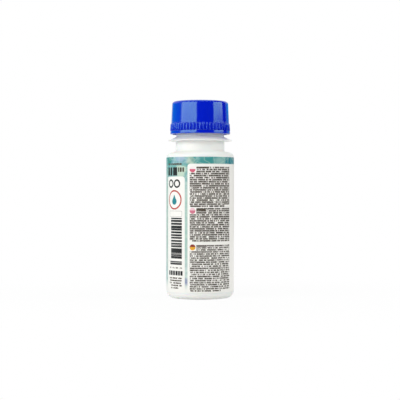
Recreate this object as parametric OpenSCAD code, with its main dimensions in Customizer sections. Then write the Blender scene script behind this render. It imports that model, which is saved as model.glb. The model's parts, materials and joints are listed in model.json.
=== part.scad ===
// A 60 ml opaque bottle with a ribbed screw cap and a tamper-evident band.
// Millimetres, +Z up, origin at the centre of the standing face.

/* [Bottle body] */
// Outer diameter of the bare bottle
body_d = 34.7; // [31:0.1:44]
// Height of the straight side wall above the standing face
body_h = 72.3; // [50:0.1:110]
// Thickness of the blown wall
body_wall = 0.9; // [0.6:0.05:1.4]
// Thickness of the floor
base_t = 1.2; // [0.8:0.1:2]
// Radius of the outer corner at the heel
heel_r = 2.0; // [1.6:0.1:4]
// Width of the flat ring that the bottle stands on
foot_w = 1.4; // [0.8:0.1:3]
// Height of the hollow under the floor
push_up = 2.0; // [0.5:0.1:4]
// Radius where the side wall turns into the shoulder
shoulder_r = 2.4; // [1.6:0.1:4]
// Slope of the shoulder above the horizontal, in degrees
shoulder_slope = 14; // [5:1:25]

/* [Neck and mouth] */
// Outer diameter of the neck between shoulder and support ring
neck_d = 25.0; // [24:0.1:27]
// Height of the support ring's underside above the side wall
neck_h = 8.4; // [7:0.1:14]
// Radius of the fillet between neck and shoulder
neck_fillet = 0.6; // [0.2:0.1:1.2]
// Diameter of the mouth's bore
mouth_d = 21.6; // [18:0.1:22]
// Diameter of the support ring
ring_d = 33.0; // [31:0.1:36]
// Thickness of the support ring at its rim
ring_rim_t = 0.4; // [0.3:0.05:0.8]
// Height of the support ring at its root
ring_root_h = 2.2; // [1.2:0.1:2.4]
// Outer diameter of the mouth above the support ring, without its thread
finish_d = 24.6; // [24.2:0.1:26]
// Height of the mouth's lip above the support ring's underside
finish_h = 18.1; // [16.5:0.1:24]
// Radius on the outer edge of the lip
lip_r = 0.5; // [0.2:0.1:0.7]
// How far the locking bead stands out from the mouth
bead_out = 1.4; // [1:0.1:1.7]
// Height of the locking bead at its root
bead_h = 1.6; // [1:0.1:2.2]

/* [Label] */
// Thickness of the label film
label_t = 0.12; // [0.08:0.01:0.3]
// Thickness of the glue line under the film
glue_t = 0.03; // [0.02:0.01:0.1]
// Height of the label's lower edge above the standing face
label_bottom = 3.2; // [2.2:0.1:10]
// Distance of the label's upper edge below the top of the side wall
label_drop = 0.1; // [0:0.1:10]
// Bare stripe between the label's two ends, at the back
label_gap = 1.5; // [0.5:0.1:6]

/* [Solution] */
// Distance of the liquid's surface below the top of the side wall
fill_drop = 0.8; // [0.4:0.1:30]
// Clearance between the liquid and the bottle
fill_clear = 0.05; // [0.02:0.01:0.2]

/* [Cap] */
// Outside height of the cap, without the band
cap_h = 15.1; // [13:0.1:16.4]
// Thickness of the cap's top
cap_top_t = 1.3; // [0.9:0.1:2]
// Thickness of the cap's side wall at the top
cap_wall = 0.95; // [0.7:0.05:1.4]
// Radial room for the thread between mouth and cap
thread_room = 1.25; // [1:0.05:1.6]
// How much the cap's smooth side widens from top to flange, on the radius
cap_draft = 0.22; // [0:0.01:0.4]
// Radius round the cap's top edge
cap_edge_r = 1.4; // [0.6:0.1:2]
// Height of the ribbed flange
flange_h = 3.8; // [2.5:0.1:6]
// How far the flange's ribs stand out from the smooth side
flange_out = 0.78; // [0.7:0.02:1.4]
// Number of grip ribs
rib_count = 54; // [36:1:72]
// Depth of the grooves between the ribs
rib_depth = 0.45; // [0.2:0.05:0.6]
// Clearance between the locking bead and the flange's bore
bead_clear = 0.3; // [0.2:0.05:0.5]
// Height of the flange's wider bore above the locking bead
bead_room = 0.5; // [0.3:0.1:1.5]
// Diameter of the gate dimple on the cap's top
gate_d = 3.0; // [2:0.1:5]
// Depth of the gate dimple
gate_depth = 0.3; // [0.1:0.05:0.5]

/* [Cap liner] */
// Thickness of the sealing disc
liner_t = 1.0; // [0.6:0.1:2]
// Clearance round the sealing disc
liner_clear = 0.25; // [0.15:0.05:0.5]

/* [Tamper band] */
// Height of the band
band_h = 1.55; // [1.3:0.05:1.6]
// Height of the slit between cap and band, which the bridges cross
slit_h = 0.25; // [0.15:0.05:0.4]
// Thickness of the band
band_wall = 0.9; // [0.6:0.05:1]
// Chamfer on the band's lower edge
band_chamfer = 0.45; // [0.2:0.05:0.5]
// Number of bridges
bridge_count = 12; // [6:1:20]
// Width of one bridge
bridge_w = 0.8; // [0.5:0.1:1.2]
// Radial thickness of one bridge
bridge_t = 0.5; // [0.4:0.05:0.6]
// Number of retaining flaps
flap_count = 8; // [6:1:12]
// Thickness of a retaining flap
flap_t = 0.45; // [0.35:0.05:0.6]
// Opening between two flaps, in degrees
flap_gap = 10; // [4:1:16]
// Clearance between the flaps' tips and the mouth
flap_clear = 0.6; // [0.4:0.05:0.7]
// Play between the flaps' tips and the locking bead
flap_play = 0.3; // [0.2:0.05:0.5]
// Height of the locking bead's underside above the cap's lower edge
bead_over_skirt = 0.2; // [0:0.05:0.4]

/* [Hidden] */
$fn = 96;
arc_steps = 8;

body_r = body_d / 2;
neck_r = neck_d / 2;
mouth_r = mouth_d / 2;
ring_r = ring_d / 2;
finish_r = finish_d / 2;
foot_out_r = body_r - heel_r;
foot_in_r = foot_out_r - foot_w;
dome_r = (foot_in_r * foot_in_r + push_up * push_up) / (2 * push_up);

ring_z = body_h + neck_h;
mouth_z = ring_z + finish_h;
cap_top_z = mouth_z + liner_t + cap_top_t;
cap_bottom_z = cap_top_z - cap_h;
flange_z = cap_bottom_z + flange_h;
band_top_z = cap_bottom_z - slit_h;
band_bottom_z = band_top_z - band_h;
bead_z = cap_bottom_z + bead_over_skirt;
bead_r = finish_r + bead_out;

cap_in_r = finish_r + thread_room;
cap_top_r = cap_in_r + cap_wall;
cap_side_r = cap_top_r + cap_draft;
flange_r = cap_side_r + flange_out;
flange_root_r = flange_r - rib_depth;
flange_in_r = bead_r + bead_clear;
liner_r = cap_in_r - liner_clear;
band_in_r = flange_r - band_wall;

// Points of an arc about [x, z], both ends included
function arc(x, z, r, from, to) =
    [for (i = [0:arc_steps])
        let (a = from + (to - from) * i / arc_steps)
        [x + r * cos(a), z + r * sin(a)]];

// Height where a shoulder whose arc has radius r meets a vertical wall at radius x
// through a fillet of radius f: the centre of that fillet
function fillet_z(r, x, f) =
    let (a = shoulder_slope,
         start_x = body_r - shoulder_r + r * sin(a),
         start_z = body_h + r * cos(a),
         end_x = x + f - f * sin(a))
    start_z + (start_x - end_x) * tan(a) + f * cos(a);

// The shoulder from the side wall to a vertical wall at radius x
function shoulder(r, x, f) =
    concat(arc(body_r - shoulder_r, body_h, r, 0, 90 - shoulder_slope),
           arc(x + f, fillet_z(r, x, f), f, 270 - shoulder_slope, 180));

// Points of the floor's dome from the axis out to the foot, t above the underside
function dome(t) =
    let (z = push_up - dome_r, r = dome_r + t, end = asin(foot_in_r / r))
    [for (i = [0:arc_steps]) [r * sin(end * i / arc_steps), z + r * cos(end * i / arc_steps)]];

// The bottle's inside from the floor's centre up to the side wall, gap inside the wall
function inside(gap) =
    let (r = heel_r - body_wall)
    concat(dome(base_t + gap),
           arc(foot_out_r, heel_r, r - gap, -90, 0));

function reversed(points) = [for (i = [len(points) - 1:-1:0]) points[i]];

// Blown body, support ring, locking bead and mouth in one piece
module bottle() {
    outside = concat(
        dome(0),
        arc(foot_out_r, heel_r, heel_r, -90, 0),
        shoulder(shoulder_r, neck_r, neck_fillet),
        [[neck_r, ring_z],
         [ring_r - ring_rim_t / 2, ring_z],
         [ring_r, ring_z + ring_rim_t / 2],
         [ring_r - ring_rim_t / 2, ring_z + ring_rim_t],
         [finish_r, ring_z + ring_root_h],
         [finish_r, bead_z],
         [bead_r, bead_z],
         [bead_r, bead_z + bead_h / 3],
         [finish_r, bead_z + bead_h]],
        arc(finish_r - lip_r, mouth_z - lip_r, lip_r, 0, 90),
        [[mouth_r + lip_r / 2, mouth_z],
         [mouth_r, mouth_z - lip_r / 2]]);
    cavity = concat(
        inside(0),
        shoulder(shoulder_r - body_wall, mouth_r, neck_r - mouth_r));
    color("white")
        rotate_extrude() polygon(concat(outside, reversed(cavity)));
}

// Liquid that fills the body up to just under the shoulder
module solution() {
    level = body_h - fill_drop;
    color("aliceblue")
        rotate_extrude()
            polygon(concat(inside(fill_clear),
                           [[body_r - body_wall - fill_clear, level],
                            [0, level]]));
}

// Film wrapped round the straight wall, its two ends facing each other at the back
module label() {
    inner_r = body_r + glue_t;
    gap_angle = label_gap / inner_r * 180 / PI;
    color("mediumaquamarine")
        rotate([0, 0, 90 + gap_angle / 2])
            rotate_extrude(angle = 360 - gap_angle)
                translate([inner_r, label_bottom])
                    square([label_t, body_h - label_drop - label_bottom]);
}

// Outline of the ribbed flange: one rounded rib and one groove at each step
module ribbed_outline() {
    step = 360 / rib_count;
    rise = [0, 0.25, 0.85, 1, 0.85, 0.25];
    polygon([for (i = [0:rib_count - 1], k = [0:len(rise) - 1])
        let (a = step * (i + 0.2 + 0.6 * k / (len(rise) - 1)),
             r = flange_root_r + rib_depth * rise[k])
        [r * cos(a), r * sin(a)]]);
}

// Outside of the smooth upper cap, which widens slightly downwards
module smooth_side() {
    rotate_extrude()
        polygon(concat(
            [[0, cap_bottom_z], [cap_side_r, cap_bottom_z], [cap_side_r, flange_z]],
            arc(cap_top_r - cap_edge_r, cap_top_z - cap_edge_r, cap_edge_r, 0, 90),
            [[0, cap_top_z]]));
}

// Screw cap: smooth above, ribbed flange below, wider bore over the locking bead
module cap() {
    ceiling_z = cap_top_z - cap_top_t;
    step_z = bead_z + bead_h + bead_room;
    step_h = flange_in_r - cap_in_r;
    color("mediumblue")
        difference() {
            union() {
                smooth_side();
                translate([0, 0, cap_bottom_z])
                    linear_extrude(flange_h) ribbed_outline();
            }
            rotate_extrude()
                polygon([[0, cap_bottom_z - 1],
                         [flange_in_r, cap_bottom_z - 1],
                         [flange_in_r, step_z],
                         [cap_in_r, step_z + abs(step_h)],
                         [cap_in_r, ceiling_z],
                         [0, ceiling_z]]);
            translate([0, 0, cap_top_z - gate_depth])
                cylinder(d = gate_d, h = 1);
        }
}

// Sealing disc between the cap and the lip
module cap_liner() {
    color("gainsboro")
        translate([0, 0, mouth_z])
            cylinder(r = liner_r, h = liner_t);
}

// One retaining flap, folded in and up from the band's lower edge
module flap(angle) {
    tip_r = finish_r + flap_clear;
    tip_z = bead_z - flap_play;
    rotate([0, 0, -angle / 2])
        rotate_extrude(angle = angle)
            polygon([[band_in_r + band_wall / 3, band_bottom_z],
                     [band_in_r + band_wall / 3, band_bottom_z + flap_t],
                     [tip_r + flap_t, tip_z],
                     [tip_r, tip_z],
                     [tip_r, tip_z - flap_t / 2],
                     [band_in_r - flap_t / 2, band_bottom_z]]);
}

// Ring that stays on the neck when the cap is first opened
module tamper_band() {
    flap_step = 360 / flap_count;
    bridge_r = (max(flange_in_r, band_in_r) + flange_root_r) / 2;
    color("mediumblue")
        union() {
            rotate_extrude()
                polygon([[band_in_r, band_bottom_z],
                         [flange_r - band_chamfer, band_bottom_z],
                         [flange_r, band_bottom_z + band_chamfer],
                         [flange_r, band_top_z],
                         [band_in_r, band_top_z]]);
            for (i = [0:flap_count - 1])
                rotate([0, 0, flap_step * i]) flap(flap_step - flap_gap);
            for (i = [0:bridge_count - 1])
                rotate([0, 0, 360 / bridge_count * (i + 0.5)])
                    translate([bridge_r - bridge_t / 2, -bridge_w / 2, band_top_z - slit_h])
                        cube([bridge_t, bridge_w, 2 * slit_h]);
        }
}

bottle();
solution();
label();
cap();
cap_liner();
tamper_band();
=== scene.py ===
import json
import math
from functools import partial

import bmesh
import bpy

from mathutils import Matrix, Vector

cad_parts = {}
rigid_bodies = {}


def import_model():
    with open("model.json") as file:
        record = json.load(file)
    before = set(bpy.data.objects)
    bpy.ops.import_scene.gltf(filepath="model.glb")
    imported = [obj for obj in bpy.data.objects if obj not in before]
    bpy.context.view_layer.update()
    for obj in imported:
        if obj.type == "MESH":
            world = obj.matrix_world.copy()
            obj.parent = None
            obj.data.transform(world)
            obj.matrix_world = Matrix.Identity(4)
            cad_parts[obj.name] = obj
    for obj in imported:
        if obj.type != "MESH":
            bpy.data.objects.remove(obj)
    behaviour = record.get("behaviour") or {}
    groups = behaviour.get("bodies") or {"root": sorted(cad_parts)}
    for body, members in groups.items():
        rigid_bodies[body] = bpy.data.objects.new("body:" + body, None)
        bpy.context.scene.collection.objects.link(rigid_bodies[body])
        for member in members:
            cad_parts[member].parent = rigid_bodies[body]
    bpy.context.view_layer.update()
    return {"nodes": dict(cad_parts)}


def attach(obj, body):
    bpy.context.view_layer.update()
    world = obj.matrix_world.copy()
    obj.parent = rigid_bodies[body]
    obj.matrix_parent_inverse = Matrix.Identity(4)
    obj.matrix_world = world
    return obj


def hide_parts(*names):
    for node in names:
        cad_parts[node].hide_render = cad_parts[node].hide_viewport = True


for leftover in list(bpy.data.objects):
    bpy.data.objects.remove(leftover)

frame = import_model()
print("frame loaded:", ", ".join(sorted(frame["nodes"])))


def mm(value):
    return value * 0.001


def colour(hexCode):
    # sRGB hex to the linear colour that a shader reads
    parts = [int(hexCode[start:start + 2], 16) / 255 for start in (1, 3, 5)]
    linear = [part / 12.92 if part <= 0.04045 else ((part + 0.055) / 1.055) ** 2.4 for part in parts]
    return (*linear, 1.0)


def deselect():
    # back in object mode with nothing selected
    if bpy.context.mode != "OBJECT":
        bpy.ops.object.mode_set(mode="OBJECT")
    bpy.ops.object.select_all(action="DESELECT")


def openPiece(piece):
    # only this piece is selected, and it is open in edit mode with nothing picked
    deselect()
    bpy.context.view_layer.objects.active = piece
    piece.select_set(True)
    bpy.ops.object.mode_set(mode="EDIT")
    bpy.ops.mesh.select_mode(type="VERT")
    bpy.ops.mesh.select_all(action="DESELECT")


def pick(piece, wanted):
    # picks the vertices whose place passes the test, in millimetres
    bpy.ops.mesh.select_all(action="DESELECT")
    mesh = bmesh.from_edit_mesh(piece.data)
    for vertex in mesh.verts:
        if wanted(vertex.co.x * 1000, vertex.co.y * 1000, vertex.co.z * 1000):
            vertex.select_set(True)
    mesh.select_flush_mode()
    bmesh.update_edit_mesh(piece.data)


def closePiece(piece, sharpOver=32):
    # merges what meets, turns the faces outwards and shades the curves smooth
    bpy.ops.mesh.select_all(action="SELECT")
    bpy.ops.mesh.remove_doubles(threshold=mm(0.002))
    bpy.ops.mesh.normals_make_consistent(inside=False)
    bpy.ops.mesh.select_all(action="DESELECT")
    bpy.ops.object.mode_set(mode="OBJECT")
    bpy.ops.object.shade_smooth_by_angle(angle=math.radians(sharpOver))
    return piece


def closeEnds(piece, sharpOver=32):
    # fills the two open ends of a sweep
    bpy.ops.mesh.select_all(action="SELECT")
    bpy.ops.mesh.fill_holes(sides=0)
    return closePiece(piece, sharpOver)


def joined(parts):
    # one piece of several, each left where it is turned to, named like the first
    deselect()
    for part in parts:
        part.select_set(True)
    bpy.context.view_layer.objects.active = parts[0]
    bpy.ops.object.transform_apply(location=False, rotation=True, scale=False)
    bpy.ops.object.join()
    return parts[0]


def arcPoints(radius, height, bend, start, end, count=8):
    # points of an arc of radius bend about (radius, height), angles in degrees
    angles = [math.radians(start + (end - start) * i / count) for i in range(count + 1)]
    return [(radius + bend * math.cos(a), height + bend * math.sin(a)) for a in angles]


def drawOutline(name, outline):
    # a plane collapsed to one vertex, then extruded from point to point of the outline
    deselect()
    bpy.ops.mesh.primitive_plane_add(size=mm(1))
    piece = bpy.context.object
    piece.name = name
    piece.data.name = name
    openPiece(piece)
    bpy.ops.mesh.select_all(action="SELECT")
    bpy.ops.mesh.merge(type="CENTER")
    bpy.ops.transform.translate(value=(mm(outline[0][0]), 0, mm(outline[0][1])))
    for here, there in zip(outline, outline[1:]):
        step = (mm(there[0] - here[0]), 0, mm(there[1] - here[1]))
        bpy.ops.mesh.extrude_region_move(TRANSFORM_OT_translate={"value": step})
    bpy.ops.mesh.select_all(action="SELECT")
    bpy.ops.mesh.remove_doubles(threshold=mm(0.002))
    return piece


def turned(name, outline, steps, angle=360):
    # the outline spun round the bottle's axis, left open in edit mode
    piece = drawOutline(name, outline)
    bpy.ops.mesh.select_all(action="SELECT")
    bpy.ops.mesh.spin(steps=steps, angle=math.radians(angle), center=(0, 0, 0), axis=(0, 0, 1))
    bpy.ops.mesh.select_all(action="SELECT")
    bpy.ops.mesh.remove_doubles(threshold=mm(0.002))
    return piece


def turnRound(piece, degrees):
    piece.rotation_euler[2] = math.radians(degrees)
    bpy.ops.object.transform_apply(location=False, rotation=True, scale=False)
    return piece


def finished(piece, body, material, replaced=None):
    # the piece gets its material and its place in the assembly
    piece.data.materials.clear()
    piece.data.materials.append(material)
    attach(piece, body)
    if replaced:
        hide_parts(replaced)
    print("made", piece.name, len(piece.data.polygons), "faces")


def addNode(owner, kind, inputs=(), **settings):
    # adds a shader node, sets it up and links what it reads: inputs are values by socket, or one
    # after the other, and a node stands for its first output
    tree = owner.node_tree
    made = tree.nodes.new("ShaderNode" + kind)
    for name, value in settings.items():
        setattr(made, name, value)
    for name, value in inputs.items() if isinstance(inputs, dict) else enumerate(inputs):
        if isinstance(value, bpy.types.Node):
            value = value.outputs[0]
        if isinstance(value, bpy.types.NodeSocket):
            tree.links.new(value, made.inputs[name])
        else:
            made.inputs[name].default_value = value
    return made


def newMaterial(name, **surface):
    # a material, its Principled shader with the plain values set on the sockets themselves, and
    # the call that adds a node to it
    material = bpy.data.materials.new(name)
    material.use_nodes = True
    shader = material.node_tree.nodes["Principled BSDF"]
    for socket, value in surface.items():
        shader.inputs[socket.replace("_", " ")].default_value = value
    return material, shader, partial(addNode, material)


def feed(shader, **sources):
    # links what drives each of the shader's sockets
    for socket, source in sources.items():
        output = source.outputs[0] if isinstance(source, bpy.types.Node) else source
        shader.id_data.links.new(output, shader.inputs[socket.replace("_", " ")])


def overprint(node, under, layers):
    # lays inks over what is there, each where its mask is 1: colours are hex codes or sockets
    for mask, ink in layers:
        under, ink = [colour(one) if isinstance(one, str) else one for one in (under, ink)]
        under = node("Mix", {0: mask, 6: under, 7: ink}, data_type="RGBA").outputs[2]
    return under


def whitePolyethylene():
    # blow-moulded polyethylene, filled with white pigment: satin skin, light sinks in a little,
    # and the skin keeps a very fine orange peel from the mould
    look = {"light": "#f3f4f1", "dark": "#edeeeb", "cloudMm": 14, "satin": (0.33, 0.41),
            "sinkMm": 1.2, "peelMm": 0.7, "peelShare": 0.05, "peelDeepMm": 0.05}
    material, shader, node = newMaterial("whiteBlownPolyethylene", IOR=1.51, Specular_IOR_Level=0.42,
                                         Subsurface_Weight=0.12, Subsurface_Scale=mm(look["sinkMm"]))
    place = node("TexCoord").outputs["Object"]
    cloud = node("TexNoise", {"Vector": place, "Scale": 1000 / look["cloudMm"], "Detail": 2.0})
    satin = node("MapRange", {"Value": cloud, "To Min": look["satin"][0], "To Max": look["satin"][1]})
    peel = node("TexNoise", {"Vector": place, "Scale": 1000 / look["peelMm"], "Detail": 1.0})
    bump = node("Bump", {"Height": peel, "Strength": look["peelShare"],
                         "Distance": mm(look["peelDeepMm"])})
    feed(shader, Base_Color=overprint(node, look["light"], [(cloud, look["dark"])]),
         Roughness=satin, Normal=bump)
    return material


def bluePolypropylene():
    # injection-moulded polypropylene, deep blue: glossy from the polished mould, with faint flow
    # clouds of pigment and slightly duller patches where it has been handled. The cap's flat top
    # comes from a spark-eroded face of the mould, so it is satin
    look = {"blue": "#001ccb", "deep": "#0018c0", "sheen": "#bcffc0", "flowMm": 9,
            "handledMm": 5, "gloss": (0.1, 0.16), "topFrom": 101.0, "topTo": 101.08, "topSatin": 0.4,
            "pullMm": 1.5, "pullShare": 0.04, "pullDeepMm": 0.05}
    material, shader, node = newMaterial("blueMouldedPolypropylene", IOR=1.49, Specular_IOR_Level=0.74,
                                         Specular_Tint=colour(look["sheen"]))
    place = node("TexCoord").outputs["Object"]
    flow = node("TexNoise", {"Vector": place, "Scale": 1000 / look["flowMm"], "Detail": 3.0})
    handled = node("TexNoise", {"Vector": place, "Scale": 1000 / look["handledMm"], "Detail": 4.0})
    gloss = node("MapRange", {"Value": handled, "To Min": look["gloss"][0], "To Max": look["gloss"][1]})
    height = node("SeparateXYZ", (place,)).outputs["Z"]
    satin = node("MapRange", {"Value": height, "From Min": mm(look["topFrom"]),
                              "From Max": mm(look["topTo"]), "To Max": look["topSatin"]})
    pull = node("TexNoise", {"Vector": place, "Scale": 1000 / look["pullMm"], "Detail": 1.0})
    bump = node("Bump", {"Height": pull, "Strength": look["pullShare"],
                         "Distance": mm(look["pullDeepMm"])})
    feed(shader, Base_Color=overprint(node, look["blue"], [(flow, look["deep"])]),
         Roughness=node("Math", (gloss, satin), operation="ADD"), Normal=bump)
    return material


def linerFoam():
    # expanded polyethylene foam: matt, with closed cells that dimple the skin
    look = {"skin": "#f2f1ec", "cell": "#dedcd4", "cellMm": 0.35, "dimpleShare": 0.4, "dimpleMm": 0.05}
    material, shader, node = newMaterial("expandedFoam", Roughness=0.7, IOR=1.5, Specular_IOR_Level=0.3)
    place = node("TexCoord").outputs["Object"]
    cells = node("TexVoronoi", {"Vector": place, "Scale": 1000 / look["cellMm"]})
    bump = node("Bump", {"Height": cells, "Strength": look["dimpleShare"],
                         "Distance": mm(look["dimpleMm"])})
    feed(shader, Base_Color=overprint(node, look["cell"], [(cells, look["skin"])]), Normal=bump)
    return material


def clearSolution():
    # buffered saline: as clear as water, with the very slight lightening of its wetting agent
    look = {"clear": "#fbfeff", "hazy": "#eef7fa", "hazeMm": 11}
    material, shader, node = newMaterial("clearSaline", Roughness=0.01, IOR=1.335,
                                         Transmission_Weight=1.0)
    place = node("TexCoord").outputs["Object"]
    haze = node("TexNoise", {"Vector": place, "Scale": 1000 / look["hazeMm"], "Detail": 2.0})
    feed(shader, Base_Color=overprint(node, look["clear"], [(haze, look["hazy"])]))
    return material


def howFar(node, aside, above):
    # length of a step to the side and up
    step = node("CombineXYZ", (aside, above))
    return node("VectorMath", (step,), operation="LENGTH").outputs["Value"]


def within(node, value, low, high):
    # 1 where the value lies from low to high
    return node("Math", (value, (low + high) / 2, (high - low) / 2), operation="COMPARE")


def printBox(node, across, up, box):
    inside = within(node, across, *box[:2]), within(node, up, *box[2:])
    return node("Math", inside, operation="MULTIPLY")


def roundedBox(node, across, up, box, corner):
    # 1 inside a box with rounded corners: the distance from its inner box stays under the corner
    outside = []
    for value, low, high in ((across, *box[:2]), (up, *box[2:])):
        offset = node("Math", (value, (low + high) / 2), operation="SUBTRACT")
        offset = node("Math", (offset,), operation="ABSOLUTE")
        inset = node("Math", (offset, (high - low) / 2 - corner), operation="SUBTRACT")
        outside.append(node("Math", (inset, 0.0), operation="MAXIMUM"))
    return node("Math", (howFar(node, *outside), corner), operation="LESS_THAN")


def disc(node, across, up, centre, radius):
    aside = node("Math", (across, centre[0]), operation="SUBTRACT")
    above = node("Math", (up, centre[1]), operation="SUBTRACT")
    return node("Math", (howFar(node, aside, above), radius), operation="LESS_THAN")


def cellNumber(node, value, size):
    part = node("Math", (value, size), operation="DIVIDE")
    return node("Math", (part,), operation="FLOOR")


def speckle(node, across, up, width, height, share, seed):
    # 1 in that share of small cells: reads as fine print from afar, and holds no letters
    cell = node("CombineXYZ", (cellNumber(node, across, width), cellNumber(node, up, height), seed))
    grain = node("TexWhiteNoise", {"Vector": cell}, noise_dimensions="3D")
    return node("Math", (grain, share), operation="LESS_THAN")


def finePrint(node, across, up, block):
    # rows of illegible print: word-long dashes with gaps, cut up by a finer speckle
    low, high = block["box"][2:]
    pitch = (high - low) / block["rows"]
    down = node("Math", (high, up), operation="SUBTRACT")
    down = node("Math", (down, pitch), operation="DIVIDE")
    row = node("Math", (down,), operation="FLOOR")
    inRow = node("Math", (down,), operation="FRACT")
    ink = within(node, inRow, 0.5 - block["ink"] / 2, 0.5 + block["ink"] / 2)
    word = node("CombineXYZ", (cellNumber(node, across, block["letter"]), row, block["seed"]))
    noise = node("TexWhiteNoise", {"Vector": word}, noise_dimensions="3D")
    masks = [node("Math", (noise, block["gaps"]), operation="GREATER_THAN"),
             speckle(node, across, up, block["letter"] * label["grainWide"], pitch * label["grainHigh"],
                     block["fill"], block["seed"] + label["grainSeed"]),
             printBox(node, across, up, block["box"])]
    for hole in block.get("holes", []):
        masks.append(node("Math", (1.0, printBox(node, across, up, hole)), operation="SUBTRACT"))
    for mask in masks:
        ink = node("Math", (ink, mask), operation="MULTIPLY")
    for heading in block.get("headings", []):
        ink = node("Math", (ink, printBox(node, across, up, heading)), operation="MAXIMUM")
    return ink


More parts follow.
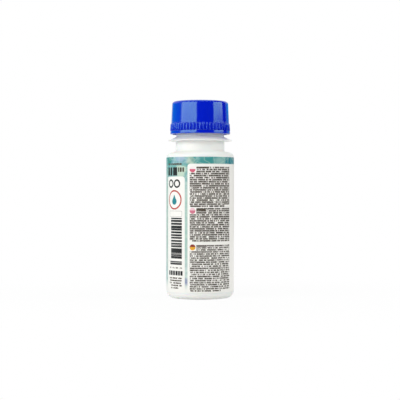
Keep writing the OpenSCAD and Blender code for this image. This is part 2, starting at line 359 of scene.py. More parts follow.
label = {
    "radius": 17.5, "filmThick": 0.12, "bottom": 3.55, "top": 72.2, "rows": 6, "gap": 1.5, "steps": 180,
    "teal": "#4b9d9c", "deepTeal": "#1c838d", "aqua": "#a3c9c6", "ray": "#d3e6d2",
    "paper": "#f4f3ee", "ink": "#4f463a", "black": "#16181a", "red": "#b8392c",
    # middle across and up, half width, half height, ink and strength of each wash
    "washes": (
        (-15.5, 70.5, 4.5, 3.0, "#93b0d0", 0.35), (-10.0, 71.0, 3.6, 2.6, "#a8bcd4", 0.75),
        (-4.6, 70.2, 2.6, 2.6, "#c6d0b6", 0.55), (-20.0, 66.0, 2.8, 5.0, "#5fa9ab", 0.8),
        (-20.0, 71.0, 3.6, 3.0, "#268680", 0.95),
        (-10.5, 64.8, 3.8, 3.6, "#c6dac6", 0.9), (-16.5, 64.6, 3.6, 3.2, "#8fbcbc", 0.7),
        (3.0, 70.4, 7.0, 3.0, "#34918f", 0.9), (11.5, 70.0, 4.0, 2.6, "#8db8b2", 0.8),
        (21.0, 70.2, 7.5, 5.0, "#0c808e", 0.95), (34.0, 64.0, 9.0, 9.0, "#3a9a9c", 0.6),
        (33.0, 40.0, 8.0, 16.0, "#a5cfc6", 0.7), (34.0, 15.0, 10.0, 9.0, "#2f9098", 0.55),
        (42.0, 69.0, 8.0, 5.0, "#93b4d6", 0.6), (47.0, 52.0, 9.0, 10.0, "#2b8f8b", 0.55),
        (44.0, 32.0, 8.0, 12.0, "#b9d8d2", 0.7), (52.0, 22.0, 8.0, 11.0, "#2f8c96", 0.5),
        (53.0, 64.0, 7.0, 8.0, "#b9d8d2", 0.6), (-51.0, 67.0, 8.0, 5.5, "#2b8f8b", 0.6),
        (-38.0, 67.0, 10.0, 4.5, "#8fbbd2", 0.6), (-27.0, 66.5, 6.0, 5.0, "#3a9a9c", 0.6),
        (-52.5, 30.0, 5.0, 18.0, "#6fb0ae", 0.6),
        (-24.0, 38.0, 4.2, 30.0, "#86b0a4", 0.8), (-7.2, 38.0, 2.0, 24.0, "#9cc3b6", 0.6),
        (-30.0, 14.0, 9.0, 6.5, "#4fa3a8", 0.6), (-43.0, 12.0, 9.0, 6.0, "#93b4d6", 0.6),
        (-7.2, 9.3, 1.6, 2.2, "#7c84ae", 0.8), (20.0, 8.0, 9.0, 3.5, "#a3a4dc", 0.5),
        (44.0, 9.0, 9.0, 4.0, "#8fa6d0", 0.5),
    ),
    # the water-like ground: ripples that pale downwards, then washes, then thin bright lines like
    # sunlight in a pool, and all of it fades out above the foot
    "rippleSize": (0.06, 0.13), "ripple": {"Scale": 2.0, "Detail": 2.5, "Distortion": 0.9},
    "rippleFrom": 0.45, "rippleTo": 0.66, "rippleShare": 0.8,
    "paleFrom": 67.0, "paleTo": 55.0, "paleShare": 0.45,
    "wander": (0.2, 0.2), "uneven": {"Scale": 1.1, "Detail": 2.0, "Roughness": 0.4}, "fray": 1.8,
    "washFrom": 1.2, "washTo": 0.45,
    "bend": {"Scale": 0.9, "Detail": 0.0}, "bendFar": 2.2,
    "rayCells": 1.2, "rayWide": 0.07, "rayShare": 0.32,
    "fadeFrom": 9.0, "fadeTo": 5.0, "fadeShare": 0.9,
    "waveMm": 9.0, "gloss": (0.276, 0.306), "waveShare": 0.03, "waveDeepMm": 0.1,
    # pale panels: left, right, low and high edges in mm, across from the middle of the front, and
    # the radius of the corners
    "panels": (((-21.4, -8.0, 1.5, 62.3), 1.5), ((-6.5, 29.0, 1.5, 68.7), 1.5),
               ((-49.0, -27.5, 22.0, 60.0), 5.0)),
    "barBoxes": ((-17.6, -9.7, 20.7, 41.4), (-18.3, -9.7, 17.6, 19.4)),
    "barHigh": 0.36, "barShare": 0.55, "barSeed": 11.0, "barPitch": 1.45, "barInk": (0.22, 0.78),
    "circles": (((-17.6, 58.7), 2.2, "black"), ((-17.6, 58.7), 1.35, "paper"),
                ((-12.9, 58.7), 2.2, "black"), ((-12.9, 58.7), 1.35, "paper"),
                ((-14.8, 50.5), 4.95, "red"), ((-14.8, 50.5), 4.2, "paper"),
                ((-14.8, 49.7), 1.7, "deepTeal")),
    # middle, foot, top and slope of the drop's tip
    "drop": (-14.8, 49.9, 53.2, 0.5),
    "frame": (-18.9, -9.6, 41.9, 44.9), "frameLine": "#b9bab6", "frameWide": 0.22,
    "frameCorners": (0.5, 0.3),
    # dots before the paragraphs: height, lower and upper colour
    "dots": ((65.8, "#d4607a", "#f3eaea"), (45.0, "#cf7389", "#ecc9d1"), (26.6, "#e8aa2c", "#8a2a22")),
    "dotAcross": -3.85, "dotRadius": 1.5, "dotSplit": 0.2,
    "blockCorner": 0.25, "grainWide": 0.33, "grainHigh": 0.24, "grainSeed": 7,
    "blocks": (("black", 62.8, 67.0, ((-20.7, -18.6), (-18.1, -16.4), (-15.8, -12.7))),
               ("ink", 64.6, 66.9, ((-12.1, -11.4), (-11.0, -9.8), (-9.4, -8.4))),
               ("black", 12.2, 14.5, ((-19.6, -18.3), (-17.9, -16.2), (-15.8, -14.3), (-13.9, -12.4),
                                      (-12.1, -10.9), (-10.6, -9.3)))),
    "textBlocks": (
        {"box": (-5.3, 17.7, 46.8, 67.3), "rows": 20, "ink": 0.8, "letter": 0.36, "gaps": 0.13,
         "fill": 0.93, "seed": 1.0, "holes": ((-5.4, -1.9, 64.2, 67.4), (13.6, 17.8, 47.0, 48.1)),
         "headings": ((-1.9, 4.4, 66.3, 67.1),)},
        {"box": (-5.3, 17.7, 29.4, 46.5), "rows": 17, "ink": 0.8, "letter": 0.36, "gaps": 0.13,
         "fill": 0.93, "seed": 2.0, "holes": ((-5.4, -1.9, 43.3, 46.5), (-5.4, -4.0, 29.0, 30.2)),
         "headings": ((-1.9, 2.8, 45.4, 46.2),)},
        {"box": (-5.3, 17.7, 4.2, 27.9), "rows": 23, "ink": 0.74, "letter": 0.36, "gaps": 0.17,
         "fill": 0.9, "seed": 3.0, "holes": ((-5.4, -1.9, 24.8, 28.0), (12.6, 17.8, 4.1, 5.3)),
         "headings": ((-1.9, 3.0, 26.9, 27.7),)},
        {"box": (-18.8, -9.6, 15.6, 16.4), "rows": 1, "ink": 0.8, "letter": 0.6, "gaps": 0.2,
         "fill": 0.7, "seed": 4.0},
        {"box": (-18.9, -9.8, 5.2, 11.4), "rows": 5, "ink": 0.6, "letter": 0.6, "gaps": 0.18,
         "fill": 0.85, "seed": 5.0, "holes": ((-19.0, -17.6, 4.0, 7.6), (-11.6, -9.0, 4.0, 6.4))},
        {"box": (-20.6, -9.8, 68.0, 69.2), "rows": 1, "ink": 0.75, "letter": 0.6, "gaps": 0.15,
         "fill": 0.9, "seed": 6.0},
    ),
}


def printedFilm():
    # polypropylene film label, printed and varnished: smooth, glossy, with flat inks. The print is
    # a water-like blue-green pattern, pale panels and rows of print too fine to be read
    material, shader, node = newMaterial("printedVarnishedFilm", IOR=1.5, Specular_IOR_Level=0.45)
    place = node("TexCoord").outputs["Object"]
    axes = node("SeparateXYZ", (place,)).outputs
    forward = node("Math", (axes["Y"], -1.0), operation="MULTIPLY")
    turn = node("Math", (axes["X"], forward), operation="ARCTAN2")
    across = node("Math", (turn, label["radius"]), operation="MULTIPLY")
    up = node("Math", (axes["Z"], 1000.0), operation="MULTIPLY")

    def spread(size):
        # the place on the unrolled label, scaled for a pattern
        return node("CombineXYZ", [node("Math", (value, share), operation="MULTIPLY")
                                   for value, share in zip((across, up), size)])

    ripple = node("TexNoise", {"Vector": spread(label["rippleSize"]), **label["ripple"]})
    bright = node("MapRange", {"Value": ripple, "From Min": label["rippleFrom"],
                               "From Max": label["rippleTo"], "To Max": label["rippleShare"]})
    paler = node("MapRange", {"Value": up, "From Min": label["paleFrom"], "From Max": label["paleTo"],
                              "To Max": label["paleShare"]})
    layers = [(bright, label["aqua"]), (paler, label["paper"])]

    wander = spread(label["wander"])
    uneven = node("TexNoise", {"Vector": wander, **label["uneven"]})
    frayed = node("Math", (uneven, 0.5), operation="SUBTRACT")
    for middleAcross, middleUp, wide, high, ink, strength in label["washes"]:
        offsets = []
        for value, middle, size in ((across, middleAcross, wide), (up, middleUp, high)):
            offset = node("Math", (value, middle), operation="SUBTRACT")
            offsets.append(node("Math", (offset, size), operation="DIVIDE"))
        edge = node("Math", (frayed, label["fray"], howFar(node, *offsets)), operation="MULTIPLY_ADD")
        mask = node("MapRange", {"Value": edge, "From Min": label["washFrom"],
                                 "From Max": label["washTo"], "To Max": strength},
                    interpolation_type="SMOOTHSTEP")
        layers.append((mask, ink))

    bend = node("TexNoise", {"Vector": wander, **label["bend"]}).outputs["Color"]
    bent = node("VectorMath", (bend, (label["bendFar"], label["bendFar"], 0.0)), operation="MULTIPLY")
    warped = node("VectorMath", (wander, bent), operation="ADD")
    cells = node("TexVoronoi", {"Vector": warped, "Scale": label["rayCells"]},
                 feature="DISTANCE_TO_EDGE")
    rays = node("MapRange", {"Value": cells, "From Max": label["rayWide"], "To Min": label["rayShare"],
                             "To Max": 0.0})
    fading = node("MapRange", {"Value": up, "From Min": label["fadeFrom"], "From Max": label["fadeTo"],
                               "To Max": label["fadeShare"]})
    layers += [(rays, label["ray"]), (fading, label["paper"])]

    for box, corner in label["panels"]:
        layers.append((roundedBox(node, across, up, box, corner), label["paper"]))
    for block in label["textBlocks"]:
        layers.append((finePrint(node, across, up, block), label["ink"]))

    # a stack of uneven bars that codes nothing
    bars = speckle(node, 0.0, up, 1.0, label["barHigh"], label["barShare"], label["barSeed"])
    part = node("Math", (up, label["barPitch"]), operation="DIVIDE")
    part = node("Math", (part,), operation="FRACT")
    bars = node("Math", (bars, within(node, part, *label["barInk"])), operation="MAXIMUM")
    for box in label["barBoxes"]:
        stack = node("Math", (bars, printBox(node, across, up, box)), operation="MULTIPLY")
        layers.append((stack, label["black"]))

    # two open circles like the wells of a lens case, and a drop in a plain ring
    for centre, radius, ink in label["circles"]:
        layers.append((disc(node, across, up, centre, radius), label[ink]))
    middle, foot, top, slope = label["drop"]
    aside = node("Math", (across, middle), operation="SUBTRACT")
    aside = node("Math", (aside,), operation="ABSOLUTE")
    below = node("Math", (top, up), operation="SUBTRACT")
    below = node("Math", (below, slope), operation="MULTIPLY")
    tip = node("Math", (aside, below), operation="LESS_THAN")
    tip = node("Math", (tip, within(node, up, foot, top)), operation="MULTIPLY")
    layers.append((tip, label["deepTeal"]))

    # an empty frame, and dark blocks where words would stand
    left, right, low, high = label["frame"]
    wide = label["frameWide"]
    outerCorner, innerCorner = label["frameCorners"]
    inner = (left + wide, right - wide, low + wide, high - wide)
    layers.append((roundedBox(node, across, up, label["frame"], outerCorner), label["frameLine"]))
    layers.append((roundedBox(node, across, up, inner, innerCorner), label["paper"]))
    for ink, low, high, edges in label["blocks"]:
        for left, right in edges:
            block = roundedBox(node, across, up, (left, right, low, high), label["blockCorner"])
            layers.append((block, label[ink]))

    for height, lower, upper in label["dots"]:
        spot = disc(node, across, up, (label["dotAcross"], height), label["dotRadius"])
        above = node("Math", (up, height + label["dotSplit"]), operation="GREATER_THAN")
        layers += [(spot, lower), (node("Math", (spot, above), operation="MULTIPLY"), upper)]

    wave = node("TexNoise", {"Vector": place, "Scale": 1000 / label["waveMm"], "Detail": 0.0})
    gloss = node("MapRange", {"Value": wave, "To Min": label["gloss"][0], "To Max": label["gloss"][1]})
    bump = node("Bump", {"Height": wave, "Strength": label["waveShare"],
                         "Distance": mm(label["waveDeepMm"])})
    feed(shader, Base_Color=overprint(node, label["teal"], layers), Roughness=gloss, Normal=bump)
    return material


def makeLabel(made):
    outer, bottom, top = made["radius"], made["bottom"], made["top"]
    inner = outer - made["filmThick"]
    outline = [(inner, bottom)]
    outline += [(outer, bottom + (top - bottom) * i / made["rows"]) for i in range(made["rows"] + 1)]
    outline += [(inner, top), (inner, bottom)]
    opening = math.degrees(made["gap"] / outer)
    piece = closeEnds(turned("labelFilm", outline, made["steps"], 360 - opening))
    # the opening is turned to the back, whichever way the spin went
    angles = [math.degrees(math.atan2(v.co.y, v.co.x)) % 360 for v in piece.data.vertices]
    gapMiddle = opening / 2 if min(a for a in angles if a > 0.01) > opening * 0.9 else -opening / 2
    return turnRound(piece, 90 - gapMiddle)


bottle = {
    "steps": 180, "bodyRadius": 17.35, "wall": 0.9, "floor": 1.2, "straightTo": 72.3,
    "wallRows": (20, 38, 56), "heel": 3.5, "footIn": 12.5, "pushUp": 2.0,
    "gateRadius": 1.3, "gateDrop": 0.45, "gateRound": 0.2,
    "shoulder": 2.4, "slope": 14, "neckRadius": 12.5, "neckFillet": 0.6, "mouthRadius": 10.8,
    "ringUnder": 80.7, "ringRadius": 16.5, "ringRim": 0.4, "ringRoot": 2.2, "ringEase": 0.15,
    "ringOver": (0.1, 0.03),
    # how the ring's top runs into the wall above it: out from the wall, up from ringRoot
    "finishRadius": 12.3, "ringFillet": ((0.4, -0.2), (0.08, 0.05), (0, 0.35)), "finishRows": (90, 82),
    "beadUnder": 86.2, "beadRadius": 13.7, "beadHigh": 1.6, "beadEase": 0.1, "beadEdge": 0.15,
    "beadCrest": 0.3, "beadOver": 0.15, "lip": 98.8, "lipRound": 0.5, "mouthRound": 0.25,
    "seamWide": 0.3, "seamHigh": 0.09, "seamBelow": 3.5, "seamAbove": 72.2, "middle": 37,
}


def domePoints(made, thick, count=14):
    # the pushed-up floor from the axis out to the foot, thick above its underside
    bend = (made["footIn"] ** 2 + made["pushUp"] ** 2) / (2 * made["pushUp"])
    middle = made["pushUp"] - bend
    bend += thick
    end = math.asin(made["footIn"] / bend)
    angles = [end * i / count for i in range(count + 1)]
    return [(bend * math.sin(a), middle + bend * math.cos(a)) for a in angles]


def shoulderPoints(made, bend, wallRadius, fillet):
    # side wall, shoulder and the fillet up into a vertical wall
    slope = math.radians(made["slope"])
    centre = made["bodyRadius"] - made["shoulder"]
    startX = centre + bend * math.sin(slope)
    startZ = made["straightTo"] + bend * math.cos(slope)
    endX = wallRadius + fillet - fillet * math.sin(slope)
    filletZ = startZ + (startX - endX) * math.tan(slope) + fillet * math.cos(slope)
    return (arcPoints(centre, made["straightTo"], bend, 0, 90 - made["slope"], 10)
            + arcPoints(wallRadius + fillet, filletZ, fillet, 270 - made["slope"], 180, 7))


def makeBottle(made):
    body, neck, finish, mouth = [made[name + "Radius"] for name in ("body", "neck", "finish", "mouth")]
    foot = body - made["heel"]
    gateUp = made["pushUp"] - made["gateDrop"]
    bend = made["gateRound"]
    outline = [(0, gateUp)]
    outline += arcPoints(made["gateRadius"] - bend, gateUp + bend, bend, -90, 0, 4)
    outline += [point for point in domePoints(made, 0) if point[0] > made["gateRadius"] + 0.1]
    outline += arcPoints(foot, made["heel"], made["heel"], -90, 0, 12)
    outline += [(body, height) for height in made["wallRows"]]
    outline += shoulderPoints(made, made["shoulder"], neck, made["neckFillet"])

    # support ring with a rounded rim, then the wall that carries the thread, with the bead that
    # holds the tamper band
    under, rim, ease = made["ringUnder"], made["ringRim"], made["ringEase"]
    ringIn = made["ringRadius"] - rim / 2
    root = under + made["ringRoot"]
    outline += [(neck, under - ease), (neck + ease, under), (ringIn, under)]
    outline += arcPoints(ringIn, under + rim / 2, rim / 2, -60, 60, 6)
    outline += [(ringIn - made["ringOver"][0], under + rim + made["ringOver"][1])]
    outline += [(finish + out, root + up) for out, up in made["ringFillet"]]
    under, edge, crest, ease = made["beadUnder"], made["beadEdge"], made["beadCrest"], made["beadEase"]
    over = under + made["beadHigh"]
    outline += [(finish, under - ease), (finish + ease, under)]
    outline += arcPoints(made["beadRadius"] - edge, under + edge, edge, -90, 0, 4)
    outline += arcPoints(made["beadRadius"] - crest, under + made["beadHigh"] / 3, crest, 0, 37, 4)
    outline += [(finish + ease, over - ease), (finish, over + made["beadOver"])]
    bend = made["lipRound"]
    outline += arcPoints(finish - bend, made["lip"] - bend, bend, 0, 90, 6)
    bend = made["mouthRound"]
    outline += arcPoints(mouth + bend, made["lip"] - bend, bend, 90, 180, 5)

    # back down the inside
    outline += [(mouth, height) for height in made["finishRows"]]
    outline += shoulderPoints(made, made["shoulder"] - made["wall"], mouth, neck - mouth)[::-1]
    outline += [(body - made["wall"], height) for height in made["wallRows"][::-1]]
    outline += arcPoints(foot, made["heel"], made["heel"] - made["wall"], 0, -90, 8)
    outline += domePoints(made, made["floor"])[::-1]
    piece = turned("bottleShell", outline, made["steps"])

    # mould seam: the outer edges at the two sides, clear of the label, are bevelled to three rows
    # and the middle row is drawn out
    def onSeam(vertex):
        x, y, z = vertex.co * 1000
        outwards = vertex.normal.dot(vertex.co - Vector((0, 0, mm(made["middle"])))) > 0
        bare = z < made["seamBelow"] or made["seamAbove"] < z < made["ringUnder"] - 0.1
        return abs(y) < 0.01 and abs(x) > neck - 0.1 and outwards and bare

    bpy.ops.mesh.normals_make_consistent(inside=False)
    bpy.ops.mesh.select_mode(type="EDGE")
    bpy.ops.mesh.select_all(action="DESELECT")
    mesh = bmesh.from_edit_mesh(piece.data)
    mesh.normal_update()
    for edge in mesh.edges:
        if all(onSeam(end) for end in edge.verts):
            edge.select_set(True)
    bmesh.update_edit_mesh(piece.data)
    bpy.ops.mesh.bevel(offset=mm(made["seamWide"] / 2), segments=2, affect="EDGES")
    bpy.ops.mesh.select_mode(type="VERT")
    bpy.ops.mesh.select_all(action="DESELECT")
    mesh = bmesh.from_edit_mesh(piece.data)
    mesh.normal_update()
    for vertex in mesh.verts:
        if onSeam(vertex):
            vertex.select_set(True)
    bmesh.update_edit_mesh(piece.data)
    out = 1 + made["seamHigh"] / body
    bpy.ops.transform.resize(value=(out, 1, 1), center_override=(0, 0, 0))
    return closePiece(piece)


neckThread = {"wall": 12.3, "crest": 13.3, "sink": 0.25, "rootHigh": 1.9, "crestHigh": 0.8,
              "start": 90.3, "turns": 1.9, "pitch": 3.18, "steps": 72, "runout": 34, "thinnest": 0.12,
              "turn": -60, "bevelIn": 0.12, "bevelOut": 0.06, "bevelUp": 0.08}
capThread = {**neckThread, "wall": 13.55, "crest": 12.62, "sink": 0.2, "rootHigh": 1.7,
             "crestHigh": 0.7, "start": 89.05, "turns": 2.05}


def makeThread(name, made):
    # a trapezium section swept up a helix, its ends run out into the wall
    wall, crest, start, turns = [made[key] for key in ("wall", "crest", "start", "turns")]
    side = 1 if crest > wall else -1
    sunk = wall - side * made["sink"]
    bevel = crest - side * made["bevelIn"]
    root = made["rootHigh"] / 2
    edgeOut = made["crestHigh"] / 2 + made["bevelOut"]
    edgeIn = made["crestHigh"] / 2 - made["bevelUp"]
    outline = [(sunk, -root), (wall, -root), (bevel, -edgeOut), (crest, -edgeIn),
               (crest, edgeIn), (bevel, edgeOut), (wall, root), (sunk, root)]
    outline = [(radius, start + height) for radius, height in outline]
    piece = drawOutline(name, outline + outline[:1])
    bpy.ops.object.mode_set(mode="OBJECT")
    screw = piece.modifiers.new("helix", "SCREW")
    screw.axis = "Z"
    screw.angle = math.radians(360 * turns)
    screw.screw_offset = mm(made["pitch"] * turns)
    screw.steps = int(made["steps"] * turns)
    screw.render_steps = screw.steps
    screw.use_smooth_shade = True
    stepTurn = turns / screw.steps
    bpy.ops.object.modifier_apply(modifier=screw.name)
    openPiece(piece)

    def turnsAt(x, y, z):
        part = math.atan2(y, x) / (2 * math.pi) % 1
        return part + round((z - start) / made["pitch"] - part)

    runout = made["runout"] / 360
    for ring in range(int(runout / stepTurn) + 1):
        share = ring * stepTurn / runout
        size = made["thinnest"] + (1 - made["thinnest"]) * math.sin(share * math.pi / 2)
        for at in (ring * stepTurn, turns - ring * stepTurn):
            pick(piece, lambda x, y, z: abs(turnsAt(x, y, z) - at) < stepTurn * 0.4)
            angle = 2 * math.pi * at
            foot = wall - side * 0.1
            middle = (mm(foot * math.cos(angle)), mm(foot * math.sin(angle)),
                      mm(start + made["pitch"] * at))
            bpy.ops.transform.resize(value=(size, size, size), center_override=middle)
    return turnRound(closeEnds(piece, 40), made["turn"])


solution = {"steps": 120, "gap": 0.05, "level": 71.5, "meniscus": 0.5, "creep": 1.5, "edge": 6,
            "rows": 10}


def makeSolution(made, around):
    # fills the bottle up to its level, and creeps up the wall at the edge of the surface
    thick = around["wall"] + made["gap"]
    inner = around["bodyRadius"] - thick
    foot = around["bodyRadius"] - around["heel"]
    outline = domePoints(around, around["floor"] + made["gap"])
    outline += arcPoints(foot, around["heel"], around["heel"] - thick, -90, 0, 8)
    for i in range(made["rows"] + 1):
        away = (1 - (1 - i / made["rows"]) ** 2) * made["edge"]
        creep = made["meniscus"] * math.exp(-away / made["creep"])
        outline.append((inner - away, made["level"] + creep))
    outline.append((0, made["level"]))
    return closePiece(turned("lensSolution", outline, made["steps"]))


cap = {
    # how far out each column of a rib stands, from groove to crest and back
    "ribs": 54, "ribDepth": 0.47, "rise": (0, 0, 0.05, 0.45, 0.85, 0.97, 1, 0.97, 0.85, 0.45, 0.05, 0),
    # how far the ribs stand out down the flange, as a share of ribDepth: they have draft
    "ribRows": ((0.12, 0.35), (0.3, 0.58), (0.6, 0.68), (1.4, 0.76), (2.4, 0.88), (3.2, 0.97),
                (3.55, 1.0), (3.75, 0.9)),
    "bottom": 86.0, "flangeTop": 89.75, "top": 101.1, "topRadius": 14.52, "grooveTop": 14.98,
    "grooveRadius": 15.03, "grooveIn": 0.03, "edge": 1.4, "topRows": (5, 9), "wallRows": 7,
    "gateRadius": 1.5, "gateDeep": 0.3, "gateRound": 0.15, "gateEdge": 0.1,
    "boreRadius": 14.0, "boreTo": 88.3, "boreEase": 0.15, "innerRadius": 13.55,
    "innerRows": (92.5, 96.0), "ceiling": 99.8, "ceilingRound": 0.25, "ceilingRow": 7,
}


def makeCap(made):
    top, gate, bend, edge = made["top"], made["gateRadius"], made["gateRound"], made["gateEdge"]
    gateUp = top - made["gateDeep"]
    outline = [(0, gateUp)]
    outline += arcPoints(gate - bend, gateUp + bend, bend, -90, 0, 3)
    outline += arcPoints(gate + edge, top - edge, edge, 180, 90, 3)
    outline += [(radius, top) for radius in made["topRows"]]
    edge, wall, rows = made["edge"], made["topRadius"], made["wallRows"]
    outline += arcPoints(wall - edge, top - edge, edge, 90, 0, 12)

    # the wall widens towards the flange, and the grooves between the ribs carry it on
    flangeTop, bottom, groove = made["flangeTop"], made["bottom"], made["grooveTop"]
    drop = top - edge - flangeTop
    for i in range(1, rows + 1):
        outline.append((wall + (groove - wall) * i / rows, top - edge - drop * i / rows))
    widening = made["grooveRadius"] - groove
    for down, share in made["ribRows"]:
        outline.append((groove + widening * down / (flangeTop - bottom), flangeTop - down))
    outline += [(made["grooveRadius"] - made["grooveIn"], bottom)]

    # up the inside: the flange's bore, a slope, the wall that carries the thread, the ceiling
    bore, inner = made["boreRadius"], made["innerRadius"]
    ease, bend = made["boreEase"], made["ceilingRound"]
    outline += [(bore + ease, bottom), (bore, bottom + ease), (bore, made["boreTo"])]
    outline += [(inner, height) for height in (made["boreTo"] + bore - inner, *made["innerRows"])]
    outline += arcPoints(inner - bend, made["ceiling"] - bend, bend, 0, 90, 4)
    outline += [(made["ceilingRow"], made["ceiling"]), (0, made["ceiling"])]
    perRib = len(made["rise"])
    steps = made["ribs"] * perRib
    piece = turned("capShell", outline, steps)

    # ribs: row by row, columns of the flange are drawn out from groove to crest
    for rise in sorted(set(made["rise"]) - {0}):
        for down, share in made["ribRows"]:

            def onRib(x, y, z):
                column = round(math.degrees(math.atan2(y, x)) / 360 * steps) % perRib
                return (made["rise"][column] == rise and abs(z - flangeTop + down) < 0.02
                        and math.hypot(x, y) > groove - 0.1)

            pick(piece, onRib)
            out = 1 + made["ribDepth"] * rise * share / made["grooveRadius"]
            bpy.ops.transform.resize(value=(out, out, 1), center_override=(0, 0, 0))
    return closePiece(piece)


liner = {"steps": 120, "radius": 13.3, "bottom": 98.8, "top": 99.8, "pressIn": 10.7, "pressOut": 12.4,
         "swell": 0.07, "slopeIn": 0.3, "slopeOut": 0.2, "lowRound": 0.2, "topRound": 0.15, "lowRow": 5,
         "topRow": 6}


def makeLiner(made):
    # a disc whose underside is pressed in by the bottle's lip
    low = made["bottom"] - made["swell"]
    outline = [(0, low), (made["lowRow"], low), (made["pressIn"] - made["slopeIn"], low),
               (made["pressIn"], made["bottom"]), (made["pressOut"], made["bottom"]),
               (made["pressOut"] + made["slopeOut"], low)]
    bend = made["lowRound"]
    outline += arcPoints(made["radius"] - bend, low + bend, bend, -90, 0, 4)
    bend = made["topRound"]
    outline += arcPoints(made["radius"] - bend, made["top"] - bend, bend, 0, 90, 4)
    outline += [(made["topRow"], made["top"]), (0, made["top"])]
    return closePiece(turned("linerDisc", outline, made["steps"]))


band = {
    "steps": 180, "outer": 15.5, "outerTop": 15.4, "inner": 14.6, "bottom": 84.2, "top": 85.94,
    "chamfer": 0.22, "chamferRound": (0.62, 0.2), "chamferMore": 0.05, "edge": 0.08,
    "innerEase": 0.1, "rows": (0.06, 0.5, 0.9),
    "bridges": 12, "bridgeWide": 0.8, "bridgeThick": 0.5, "bridgeRadius": 14.825, "bridgeTop": 86.0,
    "bridgeSunk": 0.2, "waist": 0.7, "waistDown": 0.12,
    "flaps": 8, "flapSteps": 12, "flapOpening": 10, "flapThick": 0.45, "flapTip": 12.9, "flapTop": 85.9,
    "flapRoot": 0.3, "flapUp": 0.02, "flapBevel": 0.08, "flapFlat": 0.1,
}


def copyAround(piece, count, offset=0):
    # copies with their own mesh, turned round the axis, then joined to one piece
    deselect()
    copies = [piece]
    for i in range(1, count):
        twin = piece.copy()
        twin.data = piece.data.copy()
        bpy.context.scene.collection.objects.link(twin)
        copies.append(twin)
    for i, one in enumerate(copies):
        one.rotation_euler[2] = math.radians(360 / count * (i + offset))
    return joined(copies)


def makeRing(made):
    inner, outer, bottom, top = made["inner"], made["outer"], made["bottom"], made["top"]
    cut, edge, ease = made["chamfer"], made["edge"], made["innerEase"]
    wallFoot = bottom + cut + made["chamferMore"]
    far, near = [cut * share for share in made["chamferRound"]]
    outline = [(inner, bottom + ease), (inner + ease, bottom),
               (outer - cut - made["chamferMore"], bottom), (outer - far, bottom + near),
               (outer - near, bottom + far), (outer, wallFoot)]
    for share in made["rows"]:
        outline.append((outer + (made["outerTop"] - outer) * share,
                        wallFoot + (top - wallFoot) * share))
    outline += arcPoints(made["outerTop"] - edge, top - edge, edge, 0, 90, 3)
    outline += arcPoints(inner + edge, top - edge, edge, 90, 180, 3)
    outline += outline[:1]
    return closePiece(turned("tamperBand", outline, made["steps"]))


def makeBridges(made):
    # one bridge, narrowed near its top where it is meant to tear, then copied round
    deselect()
    low = made["top"] - made["bridgeSunk"]
    waist = made["bridgeTop"] - made["waistDown"]
    bpy.ops.mesh.primitive_cube_add(
        size=1, location=(mm(made["bridgeRadius"]), 0, mm((low + made["bridgeTop"]) / 2)),
        scale=(mm(made["bridgeThick"]), mm(made["bridgeWide"]), mm(made["bridgeTop"] - low)))
    bridge = bpy.context.object
    bridge.name = "bridges"
    bpy.ops.object.transform_apply(location=True, rotation=True, scale=True)
    openPiece(bridge)
    bpy.ops.mesh.select_all(action="SELECT")
    bpy.ops.mesh.bisect(plane_co=(0, 0, mm(waist)), plane_no=(0, 0, 1))
    pick(bridge, lambda x, y, z: abs(z - waist) < 0.01)
    bpy.ops.transform.resize(value=(made["waist"], made["waist"], 1),
                             center_override=(mm(made["bridgeRadius"]), 0, mm(waist)))
    bpy.ops.mesh.select_all(action="SELECT")
    bpy.ops.mesh.normals_make_consistent(inside=False)
    return copyAround(bridge, made["bridges"], 0.5)


def makeFlaps(made):
    # one flap, folded in and up from the band's lower edge, then copied round
    thick, cut, tip, top = made["flapThick"], made["flapBevel"], made["flapTip"], made["flapTop"]
    root = made["inner"] + made["flapRoot"]
    low = made["bottom"] + made["flapUp"]
    outline = [(root, low), (root, made["bottom"] + thick), (tip + thick, top - cut),
               (tip + thick - made["flapFlat"], top), (tip + cut, top), (tip, top - cut),
               (tip, top - thick / 2), (made["inner"] - thick / 2, low), (root, low)]
    span = 360 / made["flaps"] - made["flapOpening"]
    flap = closeEnds(turned("flaps", outline, made["flapSteps"], span))
    return copyAround(turnRound(flap, -span / 2), made["flaps"])


def makeBand(made):
    piece = joined([makeRing(made), makeBridges(made), makeFlaps(made)])
    bpy.ops.object.shade_smooth_by_angle(angle=math.radians(32))
    return piece


whitePlastic = whitePolyethylene()
bluePlastic = bluePolypropylene()
finished(makeBottle(bottle), "bottle", whitePlastic, "bottle")
finished(makeThread("neckThread", neckThread), "bottle", whitePlastic)
finished(makeSolution(solution, bottle), "bottle", clearSolution(), "solution")
finished(makeLabel(label), "bottle", printedFilm(), "label")
finished(makeCap(cap), "cap", bluePlastic, "cap")
finished(makeThread("capThread", capThread), "cap", bluePlastic)
finished(makeLiner(liner), "liner", linerFoam(), "cap_liner")
finished(makeBand(band), "band", bluePlastic, "tamper_band")


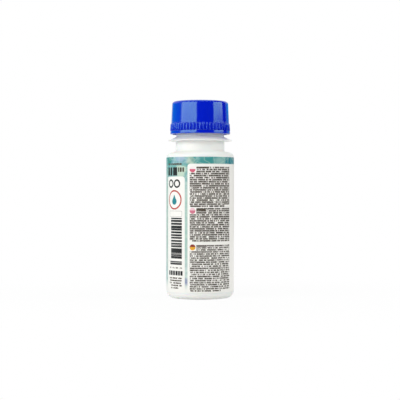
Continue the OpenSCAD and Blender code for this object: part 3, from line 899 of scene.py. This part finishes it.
studio = {
    "floorSize": 8000, "floorGrey": "#fafaf9", "shadowShare": 0.08, "shadowFrom": 60, "shadowTo": 150,
    "ambient": 0.345,
    # softboxes: name, degrees to the left of the camera, distance, width, low and high edge in mm,
    # brightness of the surface, and whether reflections see it
    "lights": (
        ("leftSoftbox", 47.0, 500, 650, 152, 410, 4.05, True),
        ("rightSoftbox", -78.5, 500, 425, 158, 410, 3.45, True),
        ("backSoftbox", 170.0, 700, 500, 60, 460, 2.0, False),
    ),
    "topLight": {"name": "topSoftbox", "up": 800, "wide": 700, "level": 0.9},
    # cloth and cards bent round the room, seen only in reflections: name, from and to in degrees,
    # low and high edge in mm, colour and glow. The cards glow at their own colour though they are no
    # lamps: they are painted reflections. The coloured ones stand high enough to be mirrored
    # by the cap alone
    "arcsAway": 900, "arcSteps": 180,
    "arcs": (
        ("darkCloth", -128, 82, -100, 1400, "#262626", 0.0),
        ("skyGlowCard", 82, 150, 160, 255, "#14a8c4", 1.0),
        ("blueGlowCard", -178, -128, 160, 255, "#38a4bc", 1.0),
        ("leftGreyGlowCard", 82, 150, -100, 160, "#7c988e", 1.0),
        ("rightGreyGlowCard", -178, -128, -100, 160, "#8c8a86", 1.0),
    ),
    "eye": (-0.05, -600, 54.9), "aim": (-0.05, 0, 50.3), "lens": 104.35, "sensor": 36,
}


def whiteToCamera(node):
    # 1 for camera, glossy and transmission rays, which see plain white
    rays = node("LightPath").outputs
    seen = rays["Is Camera Ray"]
    for name in ("Is Glossy Ray", "Is Transmission Ray"):
        seen = node("Math", (seen, rays[name]), operation="MAXIMUM")
    return seen


def makeFloor(made):
    # painted floor that keeps the contact shadow and is white further out; clear from below
    deselect()
    bpy.ops.mesh.primitive_plane_add(size=mm(made["floorSize"]))
    floor = bpy.context.object
    floor.name = "floor"
    paint = bpy.data.materials.new("paleFloor")
    paint.use_nodes = True
    paint.node_tree.nodes.clear()
    node = partial(addNode, paint)
    matt = node("BsdfDiffuse", {"Color": colour(made["floorGrey"])})
    place = node("TexCoord").outputs["Object"]
    away = node("VectorMath", (place,), operation="LENGTH").outputs["Value"]
    plain = node("MapRange", {"Value": away, "From Min": mm(made["shadowFrom"]),
                              "From Max": mm(made["shadowTo"]), "To Min": 1 - made["shadowShare"]})
    share = node("Math", (whiteToCamera(node), plain), operation="MULTIPLY")
    mixed = node("MixShader", (share, matt, node("Emission")))
    side = node("NewGeometry").outputs["Backfacing"]
    node("OutputMaterial", {"Surface": node("MixShader", (side, mixed, node("BsdfTransparent")))})
    floor.data.materials.append(paint)


def makeCard(made, name, start, end, low, high, hexCode, glow):
    # a strip of cloth or card bent round the room, which only reflections see. A card with glow
    # shines at its own colour though it is no lamp: it is a painted reflection
    deselect()
    bpy.ops.mesh.primitive_cylinder_add(
        vertices=made["arcSteps"], radius=mm(made["arcsAway"]), depth=mm(high - low),
        location=(0, 0, mm(high + low) / 2), end_fill_type="NOTHING")
    card = bpy.context.object
    card.name = name
    bpy.ops.object.transform_apply(location=True, rotation=True, scale=True)
    openPiece(card)
    pick(card, lambda x, y, z: not start < math.degrees(math.atan2(-x, -y)) < end)
    bpy.ops.mesh.delete(type="VERT")
    bpy.ops.object.mode_set(mode="OBJECT")
    # the glow is painted light: the strip shines at its colour whether or not a lamp lights it
    tone = colour(hexCode)
    cover = newMaterial(name, Base_Color=tone, Roughness=1.0, Emission_Color=tone,
                        Emission_Strength=glow)[0]
    card.data.materials.append(cover)
    card.visible_camera = False
    card.visible_diffuse = False
    card.visible_transmission = False
    card.visible_shadow = False


def makeLamp(name, wide, high, level):
    # an area lamp whose surface shines at that level, hidden from the camera
    light = bpy.data.lights.new(name, "AREA")
    light.shape = "RECTANGLE"
    light.size = wide
    light.size_y = high
    light.energy = level * math.pi * wide * high
    holder = bpy.data.objects.new(name, light)
    bpy.context.scene.collection.objects.link(holder)
    holder.visible_camera = False
    return holder


def makeLights(made):
    for name, azimuth, away, wide, low, high, level, mirrored in made["lights"]:
        holder = makeLamp(name, mm(wide), mm(high - low), level)
        turn = math.radians(azimuth)
        holder.location = (-mm(away) * math.sin(turn), -mm(away) * math.cos(turn), mm(low + high) / 2)
        holder.rotation_euler = (math.pi / 2, 0, -turn)
        holder.visible_glossy = mirrored
    top = made["topLight"]
    holder = makeLamp(top["name"], mm(top["wide"]), mm(top["wide"]), top["level"])
    holder.location = (0, 0, mm(top["up"]))


def makeWorld(made):
    # white where it is seen, dimmer as a light
    world = bpy.data.worlds.new("studio")
    world.use_nodes = True
    bpy.context.scene.world = world
    node = partial(addNode, world)
    background = world.node_tree.nodes["Background"]
    background.inputs["Color"].default_value = colour("#ffffff")
    strength = node("MapRange", {"Value": whiteToCamera(node), "To Min": made["ambient"]})
    feed(background, Strength=strength)


def makeCamera(made):
    lens = bpy.data.cameras.new("camera")
    lens.lens = made["lens"]
    lens.sensor_width = made["sensor"]
    lens.clip_start = mm(10)
    camera = bpy.data.objects.new("camera", lens)
    bpy.context.scene.collection.objects.link(camera)
    camera.location = [mm(value) for value in made["eye"]]
    down = math.atan2(made["eye"][2] - made["aim"][2], made["aim"][1] - made["eye"][1])
    camera.rotation_euler = (math.pi / 2 - down, 0, 0)
    bpy.context.scene.camera = camera


makeFloor(studio)
for arc in studio["arcs"]:
    makeCard(studio, *arc)
makeLights(studio)
makeWorld(studio)
makeCamera(studio)
bpy.context.scene.view_settings.view_transform = "Standard"
print("studio ready")

bpy.context.view_layer.update()
